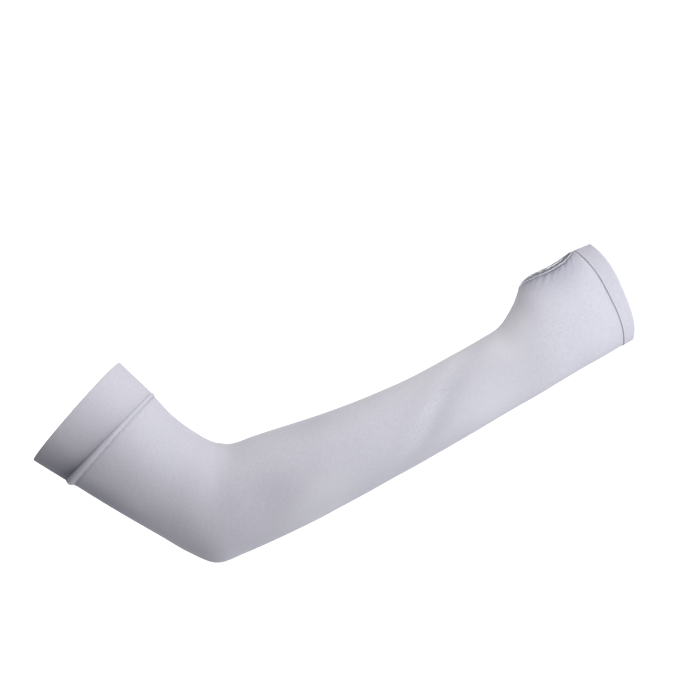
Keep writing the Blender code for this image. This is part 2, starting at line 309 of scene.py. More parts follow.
def add_node(tree, kind, settings=None, **inputs):
    """Add a node, with its settings, and set or link each input by its name or by in_ and its number."""
    node = tree.nodes.new(kind)
    for key, value in (settings or {}).items():
        setattr(node, key, value)
    for key, value in inputs.items():
        socket = node.inputs[int(key[3:])] if key.startswith("in_") else node.inputs[key.replace("_", " ")]
        if isinstance(value, bpy.types.NodeSocket):
            tree.links.new(value, socket)
        else:
            socket.default_value = value
    return node


def maths(tree, operation, *values):
    inputs = {f"in_{i}": value for i, value in enumerate(values)}
    return add_node(tree, "ShaderNodeMath", {"operation": operation}, **inputs).outputs[0]


# %% Knit the cloth
# How far each pattern lifts the surface, as shares of the bump's full height, and how far it takes
# the colour from the base towards the deep tone.
STITCH_RISE, RIB_RISE, PLEAT_RISE, GRAIN_RISE = 0.25, 2.2, 1.6, 1.6
# The rib and pleat tones are painted shade and light that follow their bumps.
STITCH_TONE, RIB_PAINTED_SHADE, PLEAT_PAINTED_SHADE, GRAIN_TONE = 0.25, -0.35, -0.45, 0.55
# Tension is a random tone. The second tone on this line is painted light: it pales the cloth on a few soft
# spots.
TENSION_TONE, PAINTED_LIGHT_TONE = 0.30, -0.55


def knit_material(name, base, deep, crease_colour, roughness, sheen, bump_mm):
    """Single jersey in UV space, where one unit is one stitch."""
    material = bpy.data.materials.new(name)
    material.use_nodes = True
    tree = material.node_tree
    shader = tree.nodes["Principled BSDF"]
    shader.inputs["Roughness"].default_value = roughness
    shader.inputs["Sheen Weight"].default_value = sheen
    shader.inputs["Sheen Roughness"].default_value = 0.5
    shader.inputs["Sheen Tint"].default_value = linear("#F4F4FA")
    shader.inputs["Specular IOR Level"].default_value = 0.25

    place = add_node(tree, "ShaderNodeUVMap", {"uv_map": "knit"}).outputs[0]
    apart = add_node(tree, "ShaderNodeSeparateXYZ", in_0=place)
    wale, course = apart.outputs[0], apart.outputs[1]
    rib_show, crease, pleat_show, painted_light = (
        add_node(tree, "ShaderNodeAttribute", {"attribute_name": mark}).outputs["Fac"]
        for mark in ("rib_show", "crease", "pleat_show", "painted_light")
    )

    # Each V is highest along its two legs, which meet at the wale's middle and slope down to its sides.
    from_middle = maths(tree, "ABSOLUTE", maths(tree, "SUBTRACT", maths(tree, "FRACT", wale), 0.5))
    leg = maths(tree, "ADD", course, maths(tree, "MULTIPLY", from_middle, 1.1))
    stitches = maths(tree, "SINE", maths(tree, "MULTIPLY", leg, 2 * math.pi))
    # Two wales make one drawn line, because a single one is thinner than the picture's smallest detail.
    ribs = maths(tree, "SINE", maths(tree, "MULTIPLY", wale, math.pi))

    # Broad, uneven tension lets the lines show more in some places than in others.
    where = add_node(tree, "ShaderNodeTexCoord").outputs["Object"]
    tension = add_node(tree, "ShaderNodeTexNoise", in_0=where, Scale=26.0, Detail=1.0).outputs[0]
    grain = add_node(tree, "ShaderNodeTexNoise", in_0=where, Scale=520.0, Detail=3.0, Roughness=0.65).outputs[0]
    # A long, narrow noise, two wales wide and some three courses long, breaks the lines into dashes.
    stretched = add_node(tree, "ShaderNodeVectorMath", {"operation": "MULTIPLY"}, in_0=place)
    stretched.inputs[1].default_value = (0.5, 0.28, 1.0)
    dashes = add_node(tree, "ShaderNodeTexNoise", in_0=stretched.outputs[0], Scale=1.0, Detail=1.0).outputs[0]
    dashes = maths(tree, "MULTIPLY_ADD", dashes, 3.4, -0.7)
    shown = maths(tree, "MULTIPLY", maths(tree, "MULTIPLY", ribs, rib_show), maths(tree, "ADD", tension, 0.5))
    shown = maths(tree, "MULTIPLY", shown, dashes)
    height = maths(tree, "MULTIPLY_ADD", stitches, STITCH_RISE, maths(tree, "MULTIPLY", shown, RIB_RISE))
    # Pleats at the sewn edge slant, so they count both courses and wales.
    pleat_turn = maths(tree, "MULTIPLY_ADD", wale, 2.1, maths(tree, "MULTIPLY", course, 1.7))
    pleats = maths(tree, "SINE", maths(tree, "MULTIPLY_ADD", tension, 9.0, pleat_turn))
    pleats = maths(tree, "MULTIPLY", pleats, pleat_show)
    height = maths(tree, "MULTIPLY_ADD", pleats, PLEAT_RISE, height)
    surface = maths(tree, "MULTIPLY_ADD", grain, GRAIN_RISE, height)
    bump = add_node(tree, "ShaderNodeBump", Strength=1.0, Distance=bump_mm / 1000, Height=surface)
    tree.links.new(bump.outputs[0], shader.inputs["Normal"])

    # Each stitch has its own random tone. The ribs and pleats get painted shade in their troughs and painted
    # light on their crests.
    stitch = add_node(tree, "ShaderNodeVectorMath", {"operation": "FLOOR"}, in_0=place).outputs[0]
    chance = add_node(tree, "ShaderNodeTexWhiteNoise", {"noise_dimensions": "3D"}, Vector=stitch).outputs[0]
    shade = maths(tree, "MULTIPLY_ADD", chance, STITCH_TONE, maths(tree, "MULTIPLY", tension, TENSION_TONE))
    for pattern, tone in ((grain, GRAIN_TONE), (shown, RIB_PAINTED_SHADE), (pleats, PLEAT_PAINTED_SHADE), (painted_light, PAINTED_LIGHT_TONE)):
        shade = maths(tree, "MULTIPLY_ADD", pattern, tone, shade)
    cloth_colour = add_node(tree, "ShaderNodeMix", {"data_type": "RGBA"}, Factor=shade)
    cloth_colour.inputs[6].default_value = linear(base)
    cloth_colour.inputs[7].default_value = linear(deep)
    # Painted shade: this mix takes the cloth's colour towards a dark blue grey where the shade mark is high.
    colour = add_node(tree, "ShaderNodeMix", {"data_type": "RGBA"}, Factor=crease)
    tree.links.new(cloth_colour.outputs[2], colour.inputs[6])
    colour.inputs[7].default_value = linear(crease_colour)
    tree.links.new(colour.outputs[2], shader.inputs["Base Color"])
    return material


# Each knit's last colour is its painted shade colour.
jersey = knit_material("weft_knit_nylon_spandex", "#BDBBC3", "#A8A6B1", "#6C6E81", 0.78, 0.2, 0.05)
double_jersey = knit_material("doubled_weft_knit", "#BCBAC2", "#AAA8B3", "#5E5E6C", 0.74, 0.2, 0.03)
print("knit:", jersey.name, "and", double_jersey.name)

# %% Spin the sewing thread
thread = bpy.data.materials.new("textured_polyester_thread")
thread.use_nodes = True
thread_tree = thread.node_tree
thread_shader = thread_tree.nodes["Principled BSDF"]
thread_shader.inputs["Roughness"].default_value = 0.55
thread_shader.inputs["Sheen Weight"].default_value = 0.3
thread_place = add_node(thread_tree, "ShaderNodeTexCoord").outputs["Object"]
thread_fuzz = add_node(thread_tree, "ShaderNodeTexNoise", in_0=thread_place, Scale=2500.0, Detail=2.0).outputs[0]
thread_colour = add_node(thread_tree, "ShaderNodeMix", {"data_type": "RGBA"}, Factor=thread_fuzz)
thread_colour.inputs[6].default_value = linear("#C6C6CE")
thread_colour.inputs[7].default_value = linear("#AEAEBA")
thread_tree.links.new(thread_colour.outputs[2], thread_shader.inputs["Base Color"])
thread_bump = add_node(thread_tree, "ShaderNodeBump", Strength=0.5, Distance=0.0001, Height=thread_fuzz)
thread_tree.links.new(thread_bump.outputs[0], thread_shader.inputs["Normal"])
print("thread:", thread.name)

# %% [markdown]
# ## The long tube
#
# The tube runs from the cuff's seam to the knuckle band. On the real one the thumb hole is a slot
# in the knitting, and the wales beside it are pushed aside, so the grid's top column is slit and
# its columns are spread in the same way. A hole cut with a Boolean would cut through the wales.

# %% Name the cloth's sizes
CLOTH_WALL = 0.0010
CUFF_WALL = 0.0018
CUFF_WIDTH = 0.031
BAND_WALL = 0.0016
BAND_WIDTH = 0.010
PIECE_GAP = 0.0003
ROLL_WIDTH_INNER = 0.0032
ROLL_WIDTH_OUTER = 0.0070
ROLL_RISE_INNER = 0.0012
ROLL_RISE_OUTER = 0.0018
HOLE_LENGTH = 0.044
HOLE_WIDTH = 0.0245
HOLE_STRIP = 0.0013
HOLE_POINT = 0.3
BINDING_RADIUS = 0.0009
BINDING_GAP = 0.0004
BINDING_TIP_INSET = 0.0019
TUBE_START = CUFF_WIDTH + ROLL_WIDTH_INNER + 2 * PIECE_GAP
TUBE_END = LENGTH - BAND_WIDTH - PIECE_GAP
HOLE_START = TUBE_END - HOLE_STRIP - HOLE_LENGTH
COLUMNS = 192
AROUND = np.linspace(0, 2 * math.pi, COLUMNS + 1)
print("tube from", round(TUBE_START * 1000, 1), "to", round(TUBE_END * 1000, 1), "mm")


# %% Outline the thumb hole
def hole_outline(turn, start, length, width):
    """Distances along the sleeve and half breadths of a drop-shaped hole, for turns from 0 to pi."""
    turns = np.linspace(0, math.pi, 181)
    fullest = np.max(np.sin(turns) * np.sin(turns / 2) ** HOLE_POINT)
    breadth = np.sin(turn) * np.abs(np.sin(turn / 2)) ** HOLE_POINT / fullest
    return start + length * (1 - np.cos(turn)) / 2, width / 2 * np.maximum(breadth, 0)


def angle_at_breadth(along, breadth):
    rows = sections_at(along)
    share = np.minimum(breadth / np.linalg.norm(rows[..., 6:9], axis=-1), 1)
    return np.arcsin(share ** (rows[..., 10] / 2))


SEAM_ROWS = (0.0, 0.0006, 0.0012, 0.0019, 0.0027)
SEAM_END = 0.0030
TUBE_ROWS = 120
HOLE_ROWS = 110
TIP_ROWS = 4
hole_turns = np.linspace(0, math.pi, HOLE_ROWS + 1)
hole_along, hole_breadth = hole_outline(hole_turns, HOLE_START, HOLE_LENGTH, HOLE_WIDTH)
SEAM_LAP = 0.0006
row_along = np.concatenate([
    TUBE_START - SEAM_LAP + np.array(SEAM_ROWS),
    np.linspace(TUBE_START + SEAM_END, HOLE_START, TUBE_ROWS, endpoint=False),
    hole_along,
    np.linspace(HOLE_START + HOLE_LENGTH, TUBE_END + 0.8 * PIECE_GAP, TIP_ROWS + 1)[1:],
])
hole_edges = angle_at_breadth(hole_along, hole_breadth)
row_edge = np.concatenate([np.zeros(len(SEAM_ROWS) + TUBE_ROWS), hole_edges, np.zeros(TIP_ROWS)])
print("rows:", len(row_along), "widest slit, degrees:", round(2 * math.degrees(row_edge.max()), 1))

# %% Spread the columns round the hole
along_grid, column_grid = np.meshgrid(row_along, AROUND, indexing="ij")
edge_grid = row_edge[:, None]
right_side = column_grid + edge_grid * (1 - column_grid / math.pi) ** 2
left_side = column_grid - edge_grid * (column_grid / math.pi - 1) ** 2
angle_grid = np.where(column_grid <= math.pi, right_side, left_side)


# %% [markdown]
# ## Gathers at the thumb
#
# The bound edge of the hole is shorter than the cloth that it holds, so small gathers run away
# from it and die out within a centimetre. They are waves along the hole's edge, with uneven
# lengths and strengths, that slant and fade with the distance from the edge. One of them, on the
# palm's side, is pinched into a small fold with a dent beside it.

# %% Gather the cloth at the hole
GATHER_SLANT = 1.1
GATHER_RISE = 0.00024
GATHER_REACH = 0.005
GATHER_WAVES = ((0.0067, 0.3, 0.7), (0.0049, 1.7, 0.9), (0.0041, 4.1, 0.5))
PULL_AT = HOLE_START + 0.014
PULL_REACH = 0.012
PINCH_AT = HOLE_START + 0.0320
PINCH_RISE = 0.0006
PINCH_REACH = 0.0020
PINCH_BREADTH = 0.0011
DENT_STEP = 0.0024
DENT_BREADTH = 0.0014
DENT_SHARE = 0.8


def close_to(distance, reach):
    """1 at no distance, and fading softly over the reach."""
    return np.exp(-((distance / reach) ** 2))


def smooth_step(low, high, x):
    """0 up to low, 1 from high on, and smooth between them."""
    t = np.clip((x - low) / (high - low), 0, 1)
    return t * t * (3 - 2 * t)


def away_from_hole(along, angle, edge):
    """Distance across the cloth from the hole's edge, or from its line where the hole has ended."""
    depth = np.linalg.norm(sections_at(along)[..., 6:9], axis=-1)
    return np.maximum(np.minimum(angle, 2 * math.pi - angle) - edge, 0) * depth


def beside_hole(along):
    """1 along the hole and 0 before and after it."""
    inside = smooth_step(HOLE_START - 0.002, HOLE_START + 0.010, along)
    return inside * (1 - smooth_step(HOLE_START + HOLE_LENGTH - 0.001, TUBE_END, along))


def pull(along):
    """The binding pulls most beside the thumb's base, so the gathers are tallest there."""
    return 0.3 + 0.7 * close_to(along - PULL_AT, PULL_REACH)


def gather_height(along, angle, edge):
    """Waves beside the hole: along its edge they alternate, and away from it they fade."""
    away = away_from_hole(along, angle, edge)
    slanted = along + GATHER_SLANT * away
    waves = np.zeros(along.shape)
    for wavelength, start, share in GATHER_WAVES:
        waves += share * np.sin(2 * math.pi * slanted / wavelength + start)
    ripples = GATHER_RISE * waves * pull(along) * close_to(away, GATHER_REACH)
    crest = close_to(slanted - PINCH_AT, PINCH_BREADTH)
    dent = DENT_SHARE * close_to(slanted - PINCH_AT - DENT_STEP, DENT_BREADTH)
    pinch = PINCH_RISE * (crest - dent) * (angle < math.pi) * close_to(away, PINCH_REACH)
    return (ripples + pinch) * beside_hole(along)


gathers = gather_height(along_grid, angle_grid, edge_grid)
print("tallest gather, mm:", round(float(np.abs(gathers).max()) * 1000, 2))

# %% [markdown]
# ## Where the tube's knit shows, darkens and pales
#
# The marks of the grid's points tell the material what to draw there: lines show across the
# forearm, painted shade darkens the seams, the thumb hole's edge and a few hollows, and painted light
# makes the cloth paler on a few soft spots. Each soft spot is one row of a table.

# %% Place the knit on the tube
TWIST = 0.36


def knit_place(along, column):
    """Wale and course of each point. The wales twist round the forearm, as they do on a turned arm."""
    twist = TWIST * smooth_step(0.30 * LENGTH, 0.86 * LENGTH, along)
    return np.stack([WALES * (column / (2 * math.pi) + twist), along / COURSE], axis=-1)


tube_knit = knit_place(along_grid, column_grid)
print("wales round the tube:", WALES, "courses along it:", round(LENGTH / COURSE))

# %% Let the lines show
RIB_SHOW, RIB_REACH = 0.9, 0.015
RIB_AT, RIB_AROUND, RIB_SLANT = 0.338, 0.436, -0.0447
HAND_RIB_SHOW, QUIET_RIB_SHOW = 0.14, 0.03
# The lines show in a slanting band across the forearm, faintly on the palm, and hardly elsewhere.
palm_side = smooth_step(0.1, 0.5, angle_grid) * (1 - smooth_step(1.8, 2.4, angle_grid))
band_middle = RIB_AT + RIB_SLANT * (angle_grid - RIB_AROUND)
rib_band = RIB_SHOW * close_to(along_grid - band_middle, RIB_REACH)
rib_show = QUIET_RIB_SHOW + palm_side * (rib_band + HAND_RIB_SHOW * smooth_step(0.37, 0.40, along_grid))
print("points with lines:", int((rib_show > 0.3).sum()))

# %% Paint shade in the hollows and light on soft spots
# at and reach are metres along the sleeve, around and spread are radians from the thumb's side.
Spot = namedtuple("Spot", "at reach around spread strength")
# Shares and reaches of the hole's two painted shades: a narrow dark line at the edge and a soft broad one.
HOLE_SHADES = ((0.30, 0.0016), (0.42, 0.010))
# Painted shade on the upper arm's inner side and at the inner elbow.
INNER_ARM = Spot(0.090, 0.050, 0.75, 0.60, 0.09)
INNER_ELBOW = Spot(0.207, 0.022, 0.30, 0.45, 0.12)
# Painted light: soft spots where the cloth is made paler, on the wrist, the forearm and the elbow.
PAINTED_LIGHT_SPOTS = (
    Spot(0.371, 0.018, 0.85, 0.60, 1.5),
    Spot(0.310, 0.050, 0.25, 0.50, 1.0),
    Spot(0.192, 0.026, 2.35, 0.45, 1.2),
    Spot(0.338, 0.032, 2.05, 0.65, 0.9),
    Spot(0.208, 0.024, 1.90, 0.45, 0.8),
)


def outer_share(angle):
    """0 on the inner side of the arm and 1 on its outer side."""
    return (1 - np.cos(angle)) / 2


def soft_spots(spots, along, angle):
    """The sum of soft round spots on the sleeve."""
    total = np.zeros(along.shape)
    for spot in spots:
        aside = turn_from(spot.around, angle)
        total += spot.strength * close_to(along - spot.at, spot.reach) * close_to(aside, spot.spread)
    return total


# The palm's side of the hole gets more painted shade than the back.
hole_away = away_from_hole(along_grid, angle_grid, edge_grid)
hole_palm = beside_hole(along_grid) * (0.4 + 0.6 * smooth_step(-0.15, 0.15, turn_from(0, angle_grid)))
pleat_show = hole_palm * pull(along_grid) * close_to(hole_away - 0.001, 0.003)
hole_shade = hole_palm * sum(share * close_to(hole_away, reach) for share, reach in HOLE_SHADES)
# The linking seam is drawn in, and painted shade lies beside it, most of all on the arm's outer side.
outer_grid = outer_share(angle_grid)
seam_shade = (0.04 + 0.45 * outer_grid**2) * close_to(along_grid - TUBE_START, 0.0014)
# Beside the ribs the cloth sinks into a shallow valley, which gets a little painted shade. So do
# the upper arm's inner side, which faces the wearer, its low side beside the cuff and the inner elbow.
valley = 0.12 * close_to(along_grid - band_middle - 0.013, 0.012) * close_to(angle_grid - 1.9, 0.9)
low_side = 0.60 * close_to(along_grid - 0.050, 0.030) * smooth_step(0.70, 0.95, outer_grid)
inner_shade = soft_spots((INNER_ARM, INNER_ELBOW), along_grid, angle_grid)
crease = seam_shade + hole_shade + valley + low_side + inner_shade
painted_light = soft_spots(PAINTED_LIGHT_SPOTS, along_grid, angle_grid)
print("deepest shade:", round(float(crease.max()), 2), "palest mark:", round(float(painted_light.max()), 2))

# %% Sew the tube into the scene
SEAM_DIP = 0.0001
seam_dip = SEAM_DIP * smooth_step(TUBE_END - 0.0016, TUBE_END, along_grid)
tube_points = cloth(along_grid, angle_grid, gathers - seam_dip)
tube_marks = {"rib_show": rib_show, "crease": crease, "pleat_show": pleat_show, "painted_light": painted_light}
tube_mesh = grid_mesh("sleeve_cloth", tube_points, tube_knit, **tube_marks)
sleeve_cloth = add_piece("sleeve_cloth", tube_mesh, jersey, "cooling_knit", "sleeve_tube")
wall = sleeve_cloth.modifiers.new("cloth wall", "SOLIDIFY")
wall.thickness = CLOTH_WALL
wall.offset = 0

# %% [markdown]
# ## The cuff and the knuckle band
#
# Both are the same knit folded double, with the fold at the free edge. A flat strip with a wall
# would show a sharp rim, so each is swept as a closed outline: out along the outer layer, round
# the fold in a half circle, back along the inner layer, and shut at the seam.


# %% Sweep a folded hem
# The painted shade beside a hem's seam has a deep, narrow part and a faint, broad one: a share and a reach each.
SEAM_SHADES = ((0.65, 0.0040), (0.35, 0.018))
SMOOTH_RIB_SHOW = 0.02


def hem_outline(seam, fold, wall):
    """Distances along the sleeve and heights of a doubled hem's outline, from the seam to the fold and back.

    seam is an array, one distance for each column, because the cuff is narrower where the roll is full.
    """
    radius = wall / 2
    inward = math.copysign(1, seam.mean() - fold)
    flat = np.linspace(0, 1, 30)[:, None]
    fold_start = fold + inward * radius
    turns = np.linspace(0, math.pi, 9)[1:-1, None]
    outer = seam + (fold_start - seam) * flat
    nose = fold_start - inward * radius * np.sin(turns) + 0 * seam
    seam_roll = np.linspace(-1, 1, 5)[1:-1, None]
    shut = seam - inward * 0.3 * radius * (1 - seam_roll**2)
    along = np.concatenate([outer, nose, outer[::-1], shut])
    height = np.concatenate([
        radius + 0 * outer,
        radius * np.cos(turns) + 0 * nose,
        -radius + 0 * outer,
        radius * seam_roll + 0 * seam,
    ])
    return np.vstack([along, along[:1]]), np.vstack([height, height[:1]])


def hem_mesh(name, seam, fold, wall, wander, seam_shade, side_shade):
    """A doubled hem. Its outer face wanders a little, and gets painted shade towards the seam and by side_shade.
    """
    along, height = hem_outline(seam, fold, wall)
    angle = np.broadcast_to(AROUND, along.shape)
    wave = wander * (np.sin(3 * angle + 0.6) + 0.6 * np.sin(7 * angle + 2.1))
    points = cloth(along, angle, height + wave)
    away = np.abs(along - seam)
    shade = side_shade + seam_shade * sum(share * np.exp(-away / reach) for share, reach in SEAM_SHADES)
    marks = {"rib_show": SMOOTH_RIB_SHOW, "crease": shade * (height > 0)}
    return grid_mesh(name, points, knit_place(along, angle), flip=seam.mean() > fold, **marks)


roll_width = ROLL_WIDTH_INNER + (ROLL_WIDTH_OUTER - ROLL_WIDTH_INNER) * outer_share(AROUND) ** 1.5
cuff_seam = TUBE_START - 2 * PIECE_GAP - roll_width + SEAM_LAP
# Painted shadow on the cuff beside the roll, deepest on the arm's outer side, and painted shade on the cuff's
# low side.
cuff_shade = 0.15 + 0.85 * outer_share(AROUND) ** 1.3
low_shade = 0.62 * smooth_step(0.55, 1.0, outer_share(AROUND))
cuff_mesh = hem_mesh(
    "cuff_welt", cuff_seam, fold=0.0, wall=CUFF_WALL, wander=0.00012, seam_shade=cuff_shade, side_shade=low_shade
)
cuff_welt = add_piece("cuff_welt", cuff_mesh, double_jersey, "doubled_knit", "upper_cuff")

band_seam = np.full(COLUMNS + 1, LENGTH - BAND_WIDTH - SEAM_LAP)
# Painted shade on the band beside its seam and towards its thumb side.
thumb_shade = 0.20 * close_to(turn_from(0.45, AROUND), 0.8)
band_mesh = hem_mesh(
    "knuckle_band", band_seam, fold=LENGTH, wall=BAND_WALL, wander=0.0, seam_shade=0.06, side_shade=thumb_shade
)
knuckle_band = add_piece("knuckle_band", band_mesh, double_jersey, "doubled_knit", "hand_band")

# %% [markdown]
# ## The rolled seam of the cuff
#
# Where the doubled cuff is linked to the tube, the spare cloth rolls up into a soft ridge. It is
# thin on the inner side of the arm and full on the outer one. A groove lies beside the ridge on the
# cuff's side, darkened with painted shadow, and on the elbow's side the linking stitches draw the
# ridge down to the tube.

# %% Roll the seam
ROLL_STEPS = 17
ROLL_SKEW = 1.1
ROLL_LIFT = 0.0001
# The ridge's height wanders round the arm: waves in one turn, where they start and their share.
ROLL_WAVES = ((5, 1.0, 0.10), (11, 0.0, 0.07))
roll_steps = np.linspace(0, 1, ROLL_STEPS)
roll_profile = np.sin(math.pi * roll_steps**ROLL_SKEW)
roll_rise = ROLL_RISE_INNER + (ROLL_RISE_OUTER - ROLL_RISE_INNER) * outer_share(AROUND)
roll_wave = 1.0
for waves, start, share in ROLL_WAVES:
    roll_wave = roll_wave + share * np.sin(waves * AROUND + start)
roll_rise = roll_rise * roll_wave
roll_near = TUBE_START - PIECE_GAP - roll_width
dome_along = roll_near + (roll_width + PIECE_GAP) * roll_steps[:, None]
dome_height = CLOTH_WALL / 2 + ROLL_LIFT + roll_rise * roll_profile[:, None]
foot_along = np.stack([roll_near + roll_width + PIECE_GAP, roll_near])
foot_height = np.full(foot_along.shape, -CLOTH_WALL / 2)
roll_along = np.vstack([dome_along, foot_along, dome_along[:1]])
roll_height = np.vstack([dome_height, foot_height, dome_height[:1]])
roll_angle = np.broadcast_to(AROUND, roll_along.shape)
roll_points = cloth(roll_along, roll_angle, roll_height)
# Painted shadow on the roll's flank towards the cuff, broadest on the arm's outer side.
roll_reach = 0.0006 + 0.0024 * outer_share(AROUND) ** 2
roll_shade = cuff_shade * close_to(roll_along - roll_near, roll_reach)
roll_knit = knit_place(roll_along, roll_angle)
roll_mesh = grid_mesh("rolled_seam", roll_points, roll_knit, rib_show=SMOOTH_RIB_SHOW, crease=roll_shade)
roll_mesh.set_sharp_from_angle(angle=math.radians(50))
rolled_seam = add_piece("rolled_seam", roll_mesh, double_jersey, "doubled_knit", "cuff_roll")
print("roll width, mm:", round(roll_width.min() * 1000, 1), "to", round(roll_width.max() * 1000, 1))

# %% [markdown]
# ## The bound edge of the thumb hole
#
# The slot's edge is overlocked: a looper thread wraps the cut edge into a thin round bead. The bead
# is a tube along the hole's outline, and the thread's turns are added over it as stitches.

# %% Bind the thumb hole
BEAD_POINTS = 160
BEAD_SIDES = 12
BEAD_RADIUS = 0.60 * BINDING_RADIUS
BEAD_SHIFT, BEAD_WANDER, BEAD_WAVES = 0.0003, 0.00018, 26
BEAD_TURNS = 20
bead_turn = np.linspace(0, 2 * math.pi, BEAD_POINTS + 1)
bead_inset = BINDING_RADIUS + BINDING_GAP
bead_along, bead_breadth = hole_outline(
    np.minimum(bead_turn, 2 * math.pi - bead_turn),
    HOLE_START + BINDING_TIP_INSET,
    HOLE_LENGTH - BINDING_TIP_INSET - bead_inset,
    HOLE_WIDTH - 2 * bead_inset,
)
bead_edge = angle_at_breadth(bead_along, bead_breadth)
bead_angle = np.where(bead_turn <= math.pi, bead_edge, 2 * math.pi - bead_edge)
bead_lift = 0.5 * gather_height(bead_along, bead_angle, bead_edge)
bead_path = cloth(bead_along, bead_angle, bead_lift)
bead_path[-1] = bead_path[0]
bead_out = cloth_normal(bead_along, bead_angle)
bead_out[-1] = bead_out[0]
bead_ahead = unit(np.roll(bead_path[:-1], -1, axis=0) - np.roll(bead_path[:-1], 1, axis=0))
bead_ahead = np.vstack([bead_ahead, bead_ahead[:1]])
bead_out = unit(bead_out - bead_ahead * np.sum(bead_out * bead_ahead, axis=1, keepdims=True))
bead_aside = np.cross(bead_ahead, bead_out)
bead_sides = np.linspace(0, 2 * math.pi, BEAD_SIDES + 1)
bead_ring = bead_out[:, None] * np.cos(bead_sides)[:, None] + bead_aside[:, None] * np.sin(bead_sides)[:, None]
bead_shift = BEAD_SHIFT + BEAD_WANDER * np.sin(BEAD_WAVES * bead_turn)
bead_middle = bead_path + bead_aside * bead_shift[:, None]
bead_points = bead_middle[:, None] + bead_ring * BEAD_RADIUS
bead_stitches = np.stack(np.meshgrid(bead_turn * BEAD_TURNS, bead_sides, indexing="ij"), axis=-1)
bead_mesh = grid_mesh("hole_edge", bead_points, bead_stitches)
hole_edge = add_piece("hole_edge", bead_mesh, thread, "edge_thread", "thumb_binding")

# %% [markdown]
# ## Stitches
#
# Three rows of stitches show: the looper thread round the thumb hole's bead, the linking stitches
# beside the cuff's roll and the fine chain beside the knuckle band. A stitch is a short bent piece
# of thread. Geometry Nodes copy it along a path, turned to face away from the cloth: the path
# brings that direction with it in an attribute, because a curve alone doesn't know the surface.


# %% Bend one stitch
def stitch_mesh(name, length, width, height, sides=6, steps=6):
    """A thread that rises from the cloth, crosses it and dives back, along X and up Z."""
    share = np.linspace(0, 1, steps + 1)
    centre = np.stack([(share - 0.5) * length, 0 * share, height * np.sin(math.pi * share)], axis=1)
    ahead = unit(np.gradient(centre, axis=0))
    up = unit(np.cross(ahead, np.broadcast_to([0, 1.0, 0], ahead.shape)) * -1)
    radius = width / 2 * np.sqrt(np.maximum(1 - (2 * share - 1) ** 4, 0.02))
    turn = np.linspace(0, 2 * math.pi, sides, endpoint=False)
    ring = up[:, None] * np.cos(turn)[:, None] + np.array([0, 1.0, 0]) * np.sin(turn)[None, :, None]
    points = centre[:, None] + ring * radius[:, None, None]
    build = bmesh.new()
    rings = [[build.verts.new(p) for p in row] for row in points]
    for near, far in zip(rings, rings[1:]):
        for i in range(sides):
            j = (i + 1) % sides
            build.faces.new((near[i], near[j], far[j], far[i]))
    build.faces.new(rings[0][::-1])
    build.faces.new(rings[-1])
    bmesh.ops.recalc_face_normals(build, faces=build.faces)
    mesh = bpy.data.meshes.new(name)
    build.to_mesh(mesh)
    build.free()
    mesh.shade_smooth()
    return mesh


# %% Grow the stitching tree
ROW_INPUTS = (
    ("Path", "Geometry"),
    ("Stitch", "Object"),
    ("Count", "Int"),
    ("Slant", "Float"),
    ("Unevenness", "Float"),
    ("Seed", "Int"),
    ("Thread", "Material"),
)


def stitching_tree():
    """Copies of a stitch at an even spacing along a path, turned by the path's own outward direction."""
    tree = bpy.data.node_groups.new("stitch_row", "GeometryNodeTree")
    for name, kind in ROW_INPUTS:
        tree.interface.new_socket(name, in_out="INPUT", socket_type=f"NodeSocket{kind}")
    tree.interface.new_socket("Stitches", in_out="OUTPUT", socket_type="NodeSocketGeometry")
    given = tree.nodes.new("NodeGroupInput").outputs
    result = tree.nodes.new("NodeGroupOutput")

    curve = add_node(tree, "GeometryNodeMeshToCurve", Mesh=given["Path"]).outputs[0]
    vector = {"data_type": "FLOAT_VECTOR"}
    facing = add_node(tree, "GeometryNodeInputNamedAttribute", vector, Name="out").outputs[0]
    spaced = add_node(tree, "GeometryNodeResampleCurve", Curve=curve, Count=given["Count"])
    points = add_node(tree, "GeometryNodeCurveToPoints", {"mode": "EVALUATED"}, Curve=spaced.outputs[0])
    axes = {"primary_axis": "Z", "secondary_axis": "X"}
    upright = add_node(tree, "FunctionNodeAxesToRotation", axes, in_0=facing, in_1=points.outputs["Tangent"])
    chance = add_node(tree, "FunctionNodeRandomValue", {"data_type": "FLOAT"}, Seed=given["Seed"])
    chance.inputs[2].default_value = -1.0
    chance.inputs[3].default_value = 1.0
    wobble = maths(tree, "MULTIPLY", chance.outputs[1], given["Unevenness"])
    slant = maths(tree, "ADD", wobble, given["Slant"])
    turn = add_node(tree, "FunctionNodeAxisAngleToRotation", Axis=(0.0, 0.0, 1.0), Angle=slant)
    local = {"rotation_space": "LOCAL"}
    both = add_node(tree, "FunctionNodeRotateRotation", local, in_0=upright.outputs[0], in_1=turn.outputs[0])
    stitch = add_node(tree, "GeometryNodeObjectInfo", Object=given["Stitch"]).outputs["Geometry"]
    placed = {"Points": points.outputs[0], "Instance": stitch, "Rotation": both.outputs[0]}
    kept = add_node(tree, "GeometryNodeInstanceOnPoints", **placed)
    solid = add_node(tree, "GeometryNodeRealizeInstances", Geometry=kept.outputs[0]).outputs[0]
    dressed = add_node(tree, "GeometryNodeSetMaterial", Geometry=solid, Material=given["Thread"]).outputs[0]
    tree.links.new(dressed, result.inputs[0])
    return tree


stitch_row = stitching_tree()
print("stitching tree nodes:", len(stitch_row.nodes))


